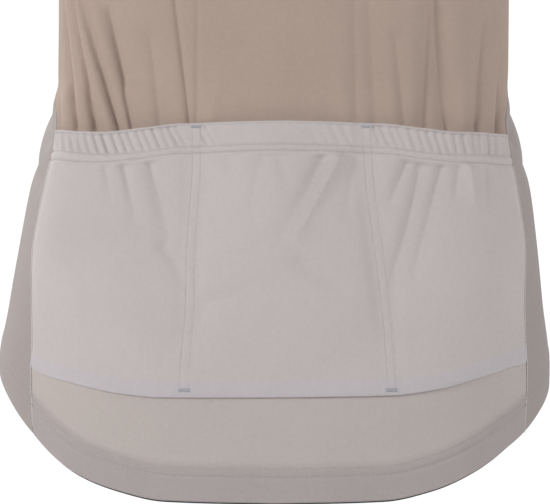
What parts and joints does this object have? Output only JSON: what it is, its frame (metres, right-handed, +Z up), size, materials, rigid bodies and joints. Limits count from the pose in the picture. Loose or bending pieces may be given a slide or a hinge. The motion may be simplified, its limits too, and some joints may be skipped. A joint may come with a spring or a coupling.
{
  "type": "short-sleeved cycling jersey",
  "caption": "Hollow worn short-sleeved cycling jersey with drop tail, back pockets, side panels, stand collar and front zip.",
  "frame": {"origin": "centre of the neck opening, level with the two side neck points, where the wearer's shoulders and neck carry the jersey", "axes": "+Z up along the body, the front faces -Y, the wearer's left is +X"},
  "size_m": [0.6332, 0.2381, 0.6779],
  "materials": {
    "sand_knit": "fine smooth knit, soft sheen",
    "taupe_knit": "fine smooth knit, soft sheen",
    "side_knit": "fine smooth knit, soft sheen",
    "pale_grey_knit": "fine smooth knit, soft sheen",
    "dark_elastic": "matt elastic tape",
    "zip_tape": "woven tape",
    "zip_coil": "moulded coil, satin",
    "slider_metal": "brushed"
  },
  "bodies": {
    "jersey": {"back_panel": "sand_knit", "back_tail": "taupe_knit", "side_panel_left": "side_knit", "side_panel_right": "side_knit", "front_left": "sand_knit", "front_right": "sand_knit", "sleeve_left": "sand_knit", "sleeve_right": "sand_knit", "collar": "sand_knit", "pocket_panel": "pale_grey_knit", "pocket_casing": "pale_grey_knit", "hem_gripper": "dark_elastic", "zip_tape_left": "zip_tape", "zip_tape_right": "zip_tape", "zip_chain": "zip_coil", "zip_slider": "slider_metal"},
    "pull": {"zip_pull": "slider_metal"}
  },
  "joints": [
    {"name": "pull_tab_hinge", "type": "hinge", "parent": "jersey", "child": "pull", "pos_m": [0, -0.06348, -0.0363], "axis": [-1, 0, 0], "range_deg": [0, 150]}
  ]
}
